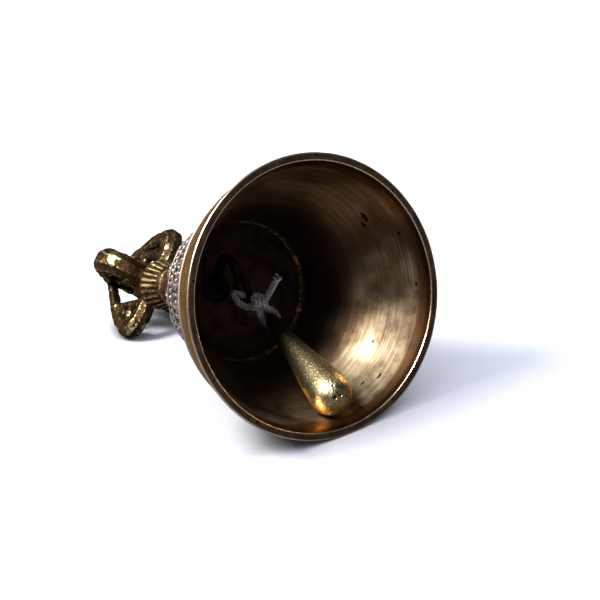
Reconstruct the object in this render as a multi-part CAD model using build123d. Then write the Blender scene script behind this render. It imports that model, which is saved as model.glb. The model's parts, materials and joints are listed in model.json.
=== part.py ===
from build123d import *
import math
import os

os.makedirs("parts", exist_ok=True)

# All lengths are in millimetres and all angles in degrees.
#
# Bell frame: the origin is the centre of the mouth, Z runs from the mouth up to the handle,
# and X points at the ground when the bell lies at rest. Every piece is drawn in the bell frame.
# Row frame: the bell lies on its side with the ground at Z = 0 and the mouth facing +X.

# Cup
MOUTH_R = 37.5
RIM_FACE = 2.1
RIM_EDGE = 0.35
LIP_H = 13.9
LIP_R = 32.9
BAND_STEP = 0.3
SHOULDER_H = 47.0
SHOULDER_R = 20.2
CROWN_TOP = 61.8
CROWN_R = 8.4
LEDGE_H = 42.5
LEDGE_R = 19.4
LEDGE_STEP = 0.4
RECESS_TOP = 57.4
RECESS_FLAT_R = 5.0
BOLT_HOLE_R = 2.05

# Handle stem, from the crown to the prongs
SEAT_H = CROWN_TOP
BEAD_H = 82.4
BEAD_R = 6.0
BEAD_FOOT_H = 81.5
BEAD_FOOT_R = 5.3
CALYX_START = 83.4
CALYX_START_R = 5.5
CALYX_RIM_H = 91.2
CALYX_RIM_R = 7.5
HUB_R = 6.3
HUB_END = 101.5
STEM_END = 103.0
STEM_END_R = 4.0
FLUTES = 24
FLUTE_R = 0.55
FLUTE_MIDDLE = 0.55
FLUTE_SHARE = 0.8
SOCKET_DEPTH = 10.2

# Prongs: four bowed arms that meet at the tip round a thin spike
LOWER_PRONG_ANGLE = 41.0
UPPER_PRONG_ANGLE = 134.0
PRONG_WIDTH = 5.4
PRONG_THICK = 4.4
PRONG_CHAMFER = 1.3
WEB_R = 1.25
SPIKE_R = 1.2
SPIKE_START = 102.0
SPIKE_END = 128.6
TIP_H = 127.6
TIP_R = 2.0

# Eye bolt inside the crown
EYE_H = 41.0
EYE_RING_R = 3.5
EYE_WIRE_R = 1.0
BOLT_R = 2.0
BOLT_FLANGE_R = 4.2
BOLT_FLANGE_T = 1.4
BOLT_TOP = 71.5
NECK_R = 1.5
NECK_START = 56.9

# Cord
CORD_R = 0.8
LOOP_LEAN = 24.0
LOOP_R = 2.35
LOOP_REACH = 3.3
KNOT_R = 2.4
KNOT_X = 3.9
KNOT_H = 32.3
TURN_HALF_WIDTH = 3.2

# Clapper, drawn along its own length from the top end to the striking end
PIVOT_X = 8.4
PIVOT_H = 28.2
PIVOT_DROP = 2.0
PIVOT_HOLE_R = 0.85
PIVOT_HOLE_LEN = 6.8
CLAPPER_TOP_R = 1.7
CLAPPER_LEN = 36.8
CLAPPER_R = 5.9
CLAPPER_LEAN = 40.25

# Search for the angle at which the bell lies still
LEAST_TILT = 5.0
MOST_TILT = 25.0
TILT_STEPS = 12


def revolved(wires):
    """Solid of revolution about Z from a closed outline in the XZ plane."""
    face = make_face(Wire(wires))
    return revolve(face, Axis.Z)


def bell_shell():
    """Thin cast cup: flared lip, relief band, domed crown, and a recess for the eye bolt."""
    band_r = LIP_R + BAND_STEP
    lip = Spline(
        (MOUTH_R, 0, RIM_EDGE),
        (35.7, 0, 6.0),
        (LIP_R, 0, LIP_H),
    )
    body = Spline(
        (band_r, 0, LIP_H),
        (26.5, 0, 26.0),
        (22.3, 0, 38.0),
        (SHOULDER_R, 0, SHOULDER_H),
        (15.8, 0, 55.0),
        (CROWN_R, 0, CROWN_TOP),
    )
    wall = Spline(
        (MOUTH_R - RIM_FACE, 0, 0),
        (33.4, 0, 6.0),
        (30.5, 0, LIP_H),
        (24.2, 0, 26.0),
        (20.5, 0, 37.0),
        (LEDGE_R, 0, LEDGE_H),
    )
    dome = Spline(
        (LEDGE_R + LEDGE_STEP, 0, LEDGE_H + LEDGE_STEP),
        (17.3, 0, 49.5),
        (12.0, 0, 55.2),
        (RECESS_FLAT_R, 0, RECESS_TOP),
    )
    outline = [
        Line((MOUTH_R - RIM_EDGE, 0, 0), lip @ 0),
        lip,
        Line(lip @ 1, body @ 0),
        body,
        Line(body @ 1, (BOLT_HOLE_R, 0, CROWN_TOP)),
        Line((BOLT_HOLE_R, 0, CROWN_TOP), (BOLT_HOLE_R, 0, RECESS_TOP)),
        Line((BOLT_HOLE_R, 0, RECESS_TOP), dome @ 1),
        dome,
        Line(dome @ 0, wall @ 1),
        wall,
        Line(wall @ 0, (MOUTH_R - RIM_EDGE, 0, 0)),
    ]
    return revolved(outline)


def handle_stem():
    """Turned stem on one axis: lotus foot, plain knob, neck, bead, fluted calyx and hub."""
    side = Spline(
        (CROWN_R, 0, SEAT_H),
        (8.7, 0, 64.0),
        (7.6, 0, 66.6),
        (5.4, 0, 68.6),
        (7.4, 0, 73.2),
        (5.2, 0, 78.0),
        (5.0, 0, 80.0),
        (BEAD_FOOT_R, 0, BEAD_FOOT_H),
    )
    bead = ThreePointArc(side @ 1, (BEAD_R, 0, BEAD_H), (CALYX_START_R, 0, CALYX_START))
    flare = Line(bead @ 1, (CALYX_RIM_R, 0, CALYX_RIM_H))
    hub = Spline(
        flare @ 1,
        (6.8, 0, 93.2),
        (HUB_R, 0, 96.0),
        (6.1, 0, HUB_END),
        (STEM_END_R, 0, STEM_END),
    )
    outline = [
        Line((0, 0, SEAT_H), side @ 0),
        side,
        bead,
        flare,
        hub,
        Line(hub @ 1, (0, 0, STEM_END)),
        Line((0, 0, STEM_END), (0, 0, SEAT_H)),
    ]
    stem = revolved(outline)
    along = flare % 0
    groove = Cylinder(FLUTE_R, FLUTE_SHARE * flare.length)
    groove = Plane(origin=flare @ FLUTE_MIDDLE, z_dir=along) * groove
    flutes = [Rot(0, 0, 360 * n / FLUTES) * groove for n in range(FLUTES)]
    socket = Pos(0, 0, SEAT_H + SOCKET_DEPTH / 2) * Cylinder(BOLT_HOLE_R, SOCKET_DEPTH)
    return stem - flutes - socket


def prong_section(scale):
    """Eight-sided section with the long side across the prong."""
    width = PRONG_WIDTH * scale
    thick = PRONG_THICK * scale
    return chamfer(Rectangle(width, thick).vertices(), PRONG_CHAMFER * scale)


def prong():
    """One bowed arm in the XZ plane: out from the stem, round the elbow, in to the tip."""
    path = Spline(
        (3.5, 0, 97.4),
        (11.0, 0, 97.2),
        (14.9, 0, 99.8),
        (14.4, 0, 106.5),
        (11.0, 0, 114.0),
        (5.8, 0, 121.5),
        (1.2, 0, TIP_H),
    )
    sections = []
    for place, scale in ((0.0, 1.0), (0.35, 1.0), (0.7, 0.85), (1.0, 0.55)):
        at = path @ place
        along = path % place
        sections.append(Plane(origin=at, x_dir=(0, 1, 0), z_dir=along) * prong_section(scale))
    arm = sweep(sections, path=path, multisection=True)
    web_path = Spline((7.6, 0, 98.5), (7.0, 0, 107.0), (8.6, 0, 115.5))
    web = sweep(Plane(origin=web_path @ 0, z_dir=web_path % 0) * Circle(WEB_R), path=web_path)
    return arm + web


def vajra_handle():
    """The whole handle casting: stem, four prongs, centre spike and tip."""
    one = prong()
    handle = handle_stem()
    for angle in (LOWER_PRONG_ANGLE, -LOWER_PRONG_ANGLE, UPPER_PRONG_ANGLE, -UPPER_PRONG_ANGLE):
        handle = handle + Rot(0, 0, angle) * one
    spike_middle = 0.5 * (SPIKE_START + SPIKE_END)
    spike = Pos(0, 0, spike_middle) * Cylinder(SPIKE_R, SPIKE_END - SPIKE_START)
    tip = Pos(0, 0, TIP_H) * Sphere(TIP_R)
    return handle + spike + tip


def clapper_eye():
    """Bolt with a bowed neck and a ring: it clamps the handle to the crown and holds the cord."""
    ring = Pos(0, 0, EYE_H) * Rot(90, 0, 0) * Torus(EYE_RING_R, EYE_WIRE_R)
    neck_path = Spline(
        (0, 0, NECK_START),
        (-4.0, 0, 53.6),
        (-8.4, 0, 49.0),
        (-9.0, 0, 43.6),
        (-3.8, 0, 41.2),
    )
    neck = sweep(Plane(origin=neck_path @ 0, z_dir=neck_path % 0) * Circle(NECK_R), path=neck_path)
    flange = Pos(0, 0, RECESS_TOP - BOLT_FLANGE_T / 2) * Cylinder(BOLT_FLANGE_R, BOLT_FLANGE_T)
    shank_len = BOLT_TOP - RECESS_TOP + BOLT_FLANGE_T / 2
    shank = Pos(0, 0, BOLT_TOP - shank_len / 2) * Cylinder(BOLT_R, shank_len)
    return ring + neck + flange + shank


def cord_run(points):
    """Round cord through a list of points: straight lengths joined by round bends."""
    run = Pos(*points[0]) * Sphere(CORD_R)
    for start, end in zip(points, points[1:]):
        run = run + Pos(*end) * Sphere(CORD_R)
        step = Vector(*end) - Vector(*start)
        middle = Vector(*start) + step * 0.5
        run = run + Plane(origin=middle, z_dir=step) * Cylinder(CORD_R, step.length)
    return run


def cord_loop():
    """Upper length of the cord: the turn round the wire of the ring."""
    ring = Rot(90, 0, 0) * Torus(LOOP_R, CORD_R)
    lean = math.radians(LOOP_LEAN)
    centre = Pos(LOOP_REACH * math.sin(lean), 0, EYE_H - LOOP_REACH * math.cos(lean))
    return centre * Rot(0, -LOOP_LEAN, 0) * Rot(0, 0, 90) * ring


def cord_knot():
    """Lower length of the cord: knot, cut tail, and the turn through the top of the clapper."""
    knot = Pos(KNOT_X, 0, KNOT_H) * Sphere(KNOT_R)
    tail = cord_run([(3.0, -0.8, 31.6), (0.2, -1.8, 28.9), (-4.2, -2.4, 23.6)])
    side = TURN_HALF_WIDTH
    turn = cord_run(
        [
            (KNOT_X + 0.6, 1.2, KNOT_H - 0.6),
            (6.8, side, 30.6),
            (PIVOT_X, side, PIVOT_H),
            (PIVOT_X, -side, PIVOT_H),
            (6.8, -side, 30.6),
            (KNOT_X + 0.6, -1.2, KNOT_H - 0.6),
        ]
    )
    return knot + tail + turn


def clapper():
    """Cast teardrop with a cross hole near its top, leaning on the lower wall."""
    side = Spline(
        (CLAPPER_TOP_R, 0, 0),
        (2.1, 0, -2.0),
        (2.5, 0, -7.0),
        (3.7, 0, -16.0),
        (5.2, 0, -25.0),
        (CLAPPER_R, 0, CLAPPER_R - CLAPPER_LEN),
        tangents=[(0.2, 0, -1), (0, 0, -1)],
    )
    round_x = CLAPPER_R * math.sin(math.radians(45))
    end = ThreePointArc(side @ 1, (round_x, 0, CLAPPER_R - CLAPPER_LEN - round_x), (0, 0, -CLAPPER_LEN))
    outline = [
        Line((0, 0, 0), side @ 0),
        side,
        end,
        Line(end @ 1, (0, 0, 0)),
    ]
    hole = Pos(0, 0, -PIVOT_DROP) * Rot(90, 0, 0) * Cylinder(PIVOT_HOLE_R, PIVOT_HOLE_LEN)
    body = Pos(0, 0, PIVOT_DROP) * (revolved(outline) - hole)
    return Pos(PIVOT_X, 0, PIVOT_H) * Rot(0, -CLAPPER_LEAN, 0) * body


def bell_frame(tilt):
    """Place of the bell frame in the row frame when the handle end is lower by tilt."""
    c = math.cos(math.radians(tilt))
    s = math.sin(math.radians(tilt))
    mouth_centre = (0, 0, MOUTH_R * c + RIM_EDGE * s)
    return Plane(origin=mouth_centre, x_dir=(s, 0, -c), z_dir=(-c, 0, -s)).location


def lying_tilt(handle):
    """Tilt at which the two lower prongs touch the ground together with the rim."""
    low, high = LEAST_TILT, MOST_TILT
    for _ in range(TILT_STEPS):
        tilt = 0.5 * (low + high)
        if (bell_frame(tilt) * handle).bounding_box().min.Z > 0:
            low = tilt
        else:
            high = tilt
    return low


pieces = {
    "bell_shell": bell_shell(),
    "vajra_handle": vajra_handle(),
    "clapper_eye": clapper_eye(),
    "cord_loop": cord_loop(),
    "cord_knot": cord_knot(),
    "clapper": clapper(),
}

rest_tilt = lying_tilt(pieces["vajra_handle"])
lying = bell_frame(rest_tilt)
front = (lying * pieces["bell_shell"]).bounding_box().max.X
back = (lying * pieces["vajra_handle"]).bounding_box().min.X
place = Pos(-0.5 * (front + back), 0, 0) * lying
print("tilt at rest", round(rest_tilt, 3), "mouth centre", place.position)

for name, piece in pieces.items():
    solid = place * piece
    solid.label = name
    export_step(solid, f"parts/{name}.step")
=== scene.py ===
import json
import math
from itertools import product

import bmesh
import bpy
import numpy as np
from mathutils import Matrix, Vector


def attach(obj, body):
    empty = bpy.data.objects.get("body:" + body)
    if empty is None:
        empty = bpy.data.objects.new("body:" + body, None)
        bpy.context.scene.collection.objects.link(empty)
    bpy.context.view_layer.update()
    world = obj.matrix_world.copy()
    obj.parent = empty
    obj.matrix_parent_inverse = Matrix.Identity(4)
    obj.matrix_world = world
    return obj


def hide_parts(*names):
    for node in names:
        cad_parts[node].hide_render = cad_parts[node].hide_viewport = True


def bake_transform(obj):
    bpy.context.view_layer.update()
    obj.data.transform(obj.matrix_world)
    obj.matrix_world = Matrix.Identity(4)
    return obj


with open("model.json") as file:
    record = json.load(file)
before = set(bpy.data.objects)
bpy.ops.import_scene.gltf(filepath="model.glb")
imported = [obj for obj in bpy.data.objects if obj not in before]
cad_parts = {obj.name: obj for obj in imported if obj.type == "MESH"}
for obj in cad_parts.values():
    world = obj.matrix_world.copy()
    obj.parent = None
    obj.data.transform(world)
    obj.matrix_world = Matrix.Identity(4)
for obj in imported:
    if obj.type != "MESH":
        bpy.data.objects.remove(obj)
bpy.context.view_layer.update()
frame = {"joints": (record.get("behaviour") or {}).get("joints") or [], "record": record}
record = frame["record"]

MM = 0.001
TAU = 2 * math.pi

# === The bell's own frame, in millimetres: origin at the centre of the mouth, Z up to the handle,
# X towards the ground as the bell lies, Y across.
rim_mount = record["mounts"][0]
out = np.array(rim_mount["axis"], float)
mouth_centre = np.array(rim_mount["pos_m"], float) * (1, 0, 1)
BELL_X = np.array((out[2], 0, -out[0]))
BELL_Z = -out
BELL_Y = np.cross(BELL_Z, BELL_X)
joints = {j["name"]: j for j in frame["joints"]}


def to_row(points):
    """Points in the bell's frame in mm to the row frame in metres."""
    p = np.asarray(points, float) * MM
    return mouth_centre + p[..., 0:1] * BELL_X + p[..., 1:2] * BELL_Y + p[..., 2:3] * BELL_Z


def to_bell(point):
    """A point in the row frame in metres to the bell's frame in mm."""
    d = (np.asarray(point, float) - mouth_centre) / MM
    return np.array((d @ BELL_X, d @ BELL_Y, d @ BELL_Z))


EYE = to_bell(joints["cord_swing"]["pos_m"])
PIVOT = to_bell(joints["clapper_swing"]["pos_m"])

# === Noise on numpy arrays


def lattice(ix, iy, iz, seed):
    """A fixed random number from 0 to 1 for each whole-number place."""
    h = (ix * 374761393 + iy * 668265263 + iz * 1440662683 + seed * 1274126177) & 0xFFFFFFFF
    h = ((h ^ (h >> 13)) * 1274126177) & 0xFFFFFFFF
    h = ((h ^ (h >> 16)) * 668265263) & 0xFFFFFFFF
    return (h ^ (h >> 15)) / 0xFFFFFFFF


def noise(p, size, seed=0):
    """Smooth value noise from -1 to 1 with cells of the given size in mm."""
    q = np.asarray(p, float) / size
    i = np.floor(q).astype(np.int64)
    f = q - i
    f = f * f * (3 - 2 * f)
    total = 0
    for corner in product((0, 1), repeat=3):
        w = np.prod(np.where(corner, f, 1 - f), axis=-1)
        total = total + w * lattice(*np.moveaxis(i + corner, -1, 0), seed)
    return total * 2 - 1


def fbm(p, size, seed=0, octaves=3):
    """Noise with finer and weaker noise on top of it."""
    total = 0
    for k in range(octaves):
        total = total + noise(p, size / 2**k, seed + 17 * k) / 2**k
    return total / 1.6


def cells(p, size, seed=0):
    """Distance to the nearest of a set of scattered points, in cell sizes, and the second nearest."""
    q = np.asarray(p, float) / size
    i = np.floor(q).astype(np.int64)
    first = np.full(q.shape[:-1], 9.0)
    second = first.copy()
    for step in product((-1, 0, 1), repeat=3):
        n = i + step
        place = [lattice(*np.moveaxis(n, -1, 0), seed + 31 * k) for k in range(3)]
        d = np.linalg.norm(n + np.stack(place, -1) - q, axis=-1)
        second = np.minimum(second, np.maximum(first, d))
        first = np.minimum(first, d)
    return first, second


def smooth(a, b, x):
    """Eases from 0 at a to 1 at b."""
    t = np.clip((x - a) / (b - a), 0, 1)
    return t * t * (3 - 2 * t)


def spline(points, count):
    """Natural cubic spline through points, spaced by chord length."""
    p = np.asarray(points, float)
    t = np.concatenate([[0], np.cumsum(np.linalg.norm(np.diff(p, axis=0), axis=1))])
    n, h = len(p), np.diff(t)
    a = np.zeros((n, n))
    b = np.zeros((n, p.shape[1]))
    a[0, 0] = a[-1, -1] = 1
    for k in range(1, n - 1):
        a[k, k - 1], a[k, k], a[k, k + 1] = h[k - 1], 2 * (h[k - 1] + h[k]), h[k]
        b[k] = 6 * ((p[k + 1] - p[k]) / h[k] - (p[k] - p[k - 1]) / h[k - 1])
    m = np.linalg.solve(a, b)
    u = np.linspace(0, t[-1], count)
    k = np.clip(np.searchsorted(t, u, side="right") - 1, 0, n - 2)
    d0, d1, hk = (u - t[k])[:, None], (t[k + 1] - u)[:, None], h[k][:, None]
    return (
        (m[k] * d1**3 + m[k + 1] * d0**3) / (6 * hk)
        + (p[k] / hk - m[k] * hk / 6) * d1
        + (p[k + 1] / hk - m[k + 1] * hk / 6) * d0
    )


# === Mesh helpers


def new_object(name, data):
    o = bpy.data.objects.new(name, data)
    bpy.context.scene.collection.objects.link(o)
    return o


def mesh_arrays(mesh):
    """Places, normals and edges of a mesh as arrays."""
    co, no = (np.zeros(len(mesh.vertices) * 3) for _ in range(2))
    mesh.vertices.foreach_get("co", co)
    mesh.vertices.foreach_get("normal", no)
    ed = np.zeros(len(mesh.edges) * 2, np.int64)
    mesh.edges.foreach_get("vertices", ed)
    return co.reshape(-1, 3), no.reshape(-1, 3), ed.reshape(-1, 2)


def keep_above_floor(mesh):
    """Flattens whatever would sink below the ground plane."""
    co = mesh_arrays(mesh)[0]
    co[:, 2] = np.maximum(co[:, 2], 0)
    mesh.vertices.foreach_set("co", co.ravel())
    mesh.update()


def point_values(mesh, **layers):
    """Named values at each point, which the materials read."""
    for name, values in layers.items():
        layer = mesh.attributes.new(name, "FLOAT", "POINT")
        layer.data.foreach_set("value", np.asarray(values, np.float32).ravel())


def point_place(mesh, points_mm):
    """Keeps each point's place in the bell's frame, for the materials."""
    layer = mesh.attributes.new("place", "FLOAT_VECTOR", "POINT")
    layer.data.foreach_set("vector", np.asarray(points_mm, np.float32).ravel())


def grid_faces(nu, nv, wrap_u=True, wrap_v=False):
    """Quads of an nu by nv grid of points, numbered along v first."""
    u = np.arange(nu if wrap_u else nu - 1)
    v = np.arange(nv if wrap_v else nv - 1)
    uu, vv = np.meshgrid(u, v, indexing="ij")
    a = uu * nv + vv
    b = ((uu + 1) % nu) * nv + vv
    c = ((uu + 1) % nu) * nv + (vv + 1) % nv
    d = uu * nv + (vv + 1) % nv
    return np.stack([a, b, c, d], -1).reshape(-1, 4)


def build(name, points, faces, materials, index=None):
    """An object from points in the bell's frame and a list of faces."""
    mesh = bpy.data.meshes.new(name)
    mesh.from_pydata([tuple(x) for x in to_row(points)], [], [tuple(int(i) for i in f) for f in faces])
    for m in materials:
        mesh.materials.append(m)
    if index is not None:
        mesh.polygons.foreach_set("material_index", np.asarray(index, np.int32))
    mesh.polygons.foreach_set("use_smooth", [True] * len(mesh.polygons))
    mesh.update()
    point_place(mesh, points)
    return new_object(name, mesh)


def take_over(piece, node, body):
    """The piece stands in for a CAD node, which it hides, and moves with its body."""
    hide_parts(node)
    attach(piece, body)


def frames_along(path):
    """Tangent and two steady cross directions at each point of a path."""
    t = np.gradient(path, axis=0)
    t /= np.linalg.norm(t, axis=1)[:, None]
    start = np.array((0.0, 1.0, 0.0)) if abs(t[0][1]) < 0.9 else np.array((1.0, 0.0, 0.0))
    side = np.zeros_like(t)
    side[0] = start - (start @ t[0]) * t[0]
    side[0] /= np.linalg.norm(side[0])
    for k in range(1, len(t)):
        s = side[k - 1] - (side[k - 1] @ t[k]) * t[k]
        side[k] = s / np.linalg.norm(s)
    return t, side, np.cross(t, side)


def tube_points(path, radius, around):
    """Rings of points round a path. The radius may change along it."""
    _, a, b = frames_along(path)
    ang = np.linspace(0, TAU, around, endpoint=False)
    r = np.broadcast_to(radius, len(path))[:, None, None]
    ring = np.cos(ang)[None, :, None] * a[:, None] + np.sin(ang)[None, :, None] * b[:, None]
    return path[:, None] + r * ring


def tube_faces(rings, around, offset=0):
    """Side quads and end fans of a tube made by tube_points."""
    q = grid_faces(rings, around, wrap_u=False, wrap_v=True) + offset
    faces = [tuple(x) for x in q]
    faces.append(tuple(range(offset, offset + around)))
    faces.append(tuple(range(offset + (rings - 1) * around, offset + rings * around))[::-1])
    return faces


def tube(path, radius, around):
    """Points and faces of a round tube."""
    return tube_points(path, radius, around).reshape(-1, 3), tube_faces(len(path), around)


def turned(outline, steps=360):
    """Grids of angle, radius and height for a turned form with a (radius, height) outline."""
    outline = np.asarray(outline, float)
    A, S = np.meshgrid(np.linspace(0, TAU, steps, endpoint=False), outline[:, 1], indexing="ij")
    return A, np.broadcast_to(outline[:, 0], A.shape), S


def round_points(A, R, S):
    return np.stack([R * np.cos(A), R * np.sin(A), S], -1)


def outward(A, tangent):
    """Unit normals of a turned form, from its outline's tangents as (radius, height)."""
    normal = tangent[:, ::-1] * (1, -1) / np.linalg.norm(tangent, axis=1)[:, None]
    return round_points(A, normal[:, 0], normal[:, 1] + 0 * A)


# === Materials

# Which output of a mix node carries the colour.
MIXED_COLOUR = 2
# What metal reflects at a glancing angle: warmer than white, as on old brass.
GLANCE = (0.78, 0.60, 0.44)


class Nodes:
    """A short way to write the nodes of a material or a world."""

    def __init__(self, owner, shader="Principled BSDF"):
        owner.use_nodes = True
        self.owner = owner
        self.tree = owner.node_tree
        self.shader = self.tree.nodes[shader]
        self.place = self.add("ShaderNodeAttribute", attribute_name="place").outputs["Vector"]

    def add(self, kind, inputs=(), **values):
        """A node with its first inputs in order, and its settings and other inputs by name."""
        n = self.tree.nodes.new(kind)
        for key, value in (*enumerate(inputs), *values.items()):
            if isinstance(key, str) and key in n.bl_rna.properties:
                setattr(n, key, value)
            else:
                self.put(n, key, value)
        return n

    def put(self, node, key, value):
        if isinstance(key, int):
            socket = node.inputs[key]
        else:
            socket = next(s for s in node.inputs if key in (s.identifier, s.name))
        if hasattr(value, "is_output"):
            self.tree.links.new(value, socket)
        else:
            socket.default_value = (*value, 1.0) if socket.type == "RGBA" else value

    def value(self, name):
        return self.add("ShaderNodeAttribute", attribute_name=name).outputs["Fac"]

    def stretch(self, *scale):
        return self.add("ShaderNodeVectorMath", (self.place, scale), operation="MULTIPLY").outputs[0]

    def noise(self, scale, detail=4.0, rough=0.55, vector=None):
        n = self.add("ShaderNodeTexNoise", Scale=scale, Detail=detail, Roughness=rough)
        self.put(n, "Vector", vector or self.place)
        return n.outputs["Fac"]

    def spots(self, scale):
        return self.add("ShaderNodeTexVoronoi", Scale=scale, Vector=self.place).outputs["Distance"]

    def ramp(self, fac, low, high, a=0.0, b=1.0):
        """Eases from a where fac is low to b where it is high."""
        values = (fac, low, high, a, b)
        return self.add("ShaderNodeMapRange", values, interpolation_type="SMOOTHSTEP").outputs[0]

    def plus(self, *terms):
        return self.add("ShaderNodeMath", terms, operation="ADD").outputs[0]

    def times(self, *terms):
        return self.add("ShaderNodeMath", terms, operation="MULTIPLY").outputs[0]

    def mix(self, fac, a, b):
        n = self.add("ShaderNodeMix", data_type="RGBA", Factor_Float=fac, A_Color=a, B_Color=b)
        return n.outputs[MIXED_COLOUR]

    def tint(self, fac, colour):
        self.colour = self.mix(fac, self.colour, colour)

    def height(self):
        return self.add("ShaderNodeSeparateXYZ", (self.place,)).outputs[2]

    def bump(self, height, strength, distance=0.0001, normal=None):
        n = self.add("ShaderNodeBump", Strength=strength, Distance=distance, Height=height)
        if normal is not None:
            self.put(n, "Normal", normal)
        return n.outputs["Normal"]

    def finish(self, roughness, metallic=1.0, normal=None):
        self.put(self.shader, "Base Color", self.colour)
        self.put(self.shader, "Roughness", roughness)
        self.put(self.shader, "Metallic", metallic)
        if metallic > 0.5:
            self.put(self.shader, "Specular Tint", GLANCE)
        if normal is not None:
            self.put(self.shader, "Normal", normal)
        return self.owner


def paint(name):
    return Nodes(bpy.data.materials.new(name))


def inside_bronze():
    """Lathe turned wall: rings, soft brown clouds, burnt band inside the rim, pits and smears, with painted
    shade deeper in, in the grooves and in one patch.
    """
    n = paint("inside_bronze")
    h = n.height()
    rings = n.noise(1.0, 3.0, 0.6, n.stretch(0.03, 0.03, 8.0))
    wide = n.noise(1.0, 3.0, 0.5, n.stretch(0.05, 0.05, 0.9))
    cloud = n.noise(0.07, 5.0, 0.6)
    fine = n.noise(1.3, 5.0, 0.65)
    streak = n.noise(1.0, 4.0, 0.7, n.stretch(0.25, 0.25, 3.2))
    n.colour = n.mix(n.ramp(cloud, 0.38, 0.62), (0.40, 0.30, 0.195), (0.54, 0.455, 0.335))
    n.tint(n.ramp(wide, 0.4, 0.62, 0.0, 0.5), (0.33, 0.22, 0.115))
    burnt = n.times(n.ramp(h, 6.0, 3.2), n.ramp(cloud, 0.3, 0.62, 0.45, 1.0))
    n.tint(burnt, (0.15, 0.066, 0.020))
    # Painted shade: the wall darkens deeper inside the cup.
    painted_deep_shade = n.ramp(h, 16.0, 34.0)
    n.tint(n.times(painted_deep_shade, 0.75), (0.17, 0.10, 0.05))
    n.tint(n.ramp(h, 3.0, 0.9, 0.0, 0.8), (0.035, 0.018, 0.010))
    n.tint(n.value("edge"), (0.80, 0.50, 0.17))
    # The "pit" value holds the wall's dark stains and also its painted shade in the grooves and in one patch.
    n.tint(n.value("pit"), (0.035, 0.02, 0.012))
    smear = n.times(n.ramp(streak, 0.60, 0.68), n.ramp(fine, 0.40, 0.56))
    n.tint(n.times(smear, 0.72), (0.07, 0.04, 0.02))
    pit = n.ramp(n.spots(0.75), 0.13, 0.05)
    pit = n.times(pit, n.ramp(n.noise(0.16, 2.0), 0.55, 0.66))
    n.tint(pit, (0.03, 0.018, 0.01))
    rough = n.plus(n.ramp(rings, 0.3, 0.7, 0.29, 0.35), n.ramp(cloud, 0.35, 0.65, -0.03, 0.09))
    rough = n.plus(rough, n.times(smear, 0.25))
    normal = n.bump(rings, 0.16, 0.00005)
    normal = n.bump(fine, 0.18, 0.00008, normal)
    return n.finish(rough, 1.0, normal)


def rim_bronze():
    """Flat rim: brown skin with dark pits, worn bright along both edges."""
    n = paint("rim_bronze")
    cloud = n.noise(0.22, 5.0, 0.65)
    fine = n.noise(1.9, 4.0, 0.7)
    edge = n.value("edge")
    n.colour = n.mix(n.ramp(cloud, 0.35, 0.65), (0.095, 0.058, 0.034), (0.19, 0.12, 0.068))
    n.tint(n.ramp(fine, 0.62, 0.72, 0.0, 0.8), (0.07, 0.04, 0.02))
    pit = n.times(n.ramp(n.spots(0.55), 0.3, 0.16), n.ramp(cloud, 0.5, 0.6))
    n.tint(pit, (0.03, 0.018, 0.01))
    n.tint(edge, (0.84, 0.74, 0.62))
    rough = n.plus(n.ramp(fine, 0.3, 0.7, 0.38, 0.5), n.times(edge, -0.16))
    return n.finish(rough, 1.0, n.bump(fine, 0.25, 0.0001))


def lip_bronze():
    """Outside of the lip: mottled golden brown, faint turning marks."""
    n = paint("lip_bronze")
    cloud = n.noise(0.12, 5.0, 0.6)
    mottle = n.noise(0.8, 5.0, 0.75)
    rings = n.noise(1.0, 2.0, 0.5, n.stretch(0.05, 0.05, 4.0))
    n.colour = n.mix(n.ramp(cloud, 0.36, 0.64), (0.165, 0.105, 0.054), (0.26, 0.165, 0.080))
    n.tint(n.ramp(mottle, 0.5, 0.64, 0.0, 0.85), (0.50, 0.29, 0.08))
    n.tint(n.ramp(mottle, 0.46, 0.34, 0.0, 0.8), (0.07, 0.04, 0.020))
    n.tint(n.value("edge"), (0.60, 0.50, 0.42))
    rough = n.plus(n.ramp(mottle, 0.3, 0.7, 0.50, 0.38), n.ramp(rings, 0.4, 0.6, -0.03, 0.03))
    normal = n.bump(rings, 0.2, 0.00008)
    return n.finish(rough, 1.0, n.bump(mottle, 0.25, 0.00012, normal))


def relief_metal():
    """Cast relief: pale worn tops over dark grime."""
    n = paint("relief_metal")
    high = n.value("high")
    fine = n.noise(2.2, 4.0, 0.7)
    cloud = n.noise(0.2, 3.0, 0.6)
    top = n.mix(n.ramp(cloud, 0.4, 0.62), (0.50, 0.46, 0.44), (0.42, 0.355, 0.30))
    worn = n.plus(high, n.ramp(fine, 0.3, 0.7, -0.22, 0.22))
    n.colour = n.mix(n.ramp(worn, 0.2, 0.62), (0.040, 0.031, 0.026), top)
    n.tint(n.value("edge"), (0.52, 0.46, 0.42))
    rough = n.ramp(worn, 0.1, 0.8, 0.62, 0.36)
    return n.finish(rough, 0.92, n.bump(fine, 0.35, 0.00015))


def crown_cast():
    """Rough casting inside the crown: dull brown, never turned."""
    n = paint("crown_cast")
    cloud = n.noise(0.25, 5.0, 0.65)
    fine = n.noise(1.4, 5.0, 0.7)
    n.colour = n.mix(n.ramp(cloud, 0.36, 0.64), (0.048, 0.024, 0.018), (0.125, 0.062, 0.048))
    n.tint(n.ramp(fine, 0.55, 0.72, 0.0, 0.6), (0.13, 0.07, 0.05))
    n.tint(n.value("edge"), (0.78, 0.52, 0.2))
    rough = n.plus(n.ramp(fine, 0.3, 0.7, 0.62, 0.5), n.times(n.value("edge"), -0.2))
    return n.finish(rough, 0.8, n.bump(fine, 0.5, 0.0002))


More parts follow.
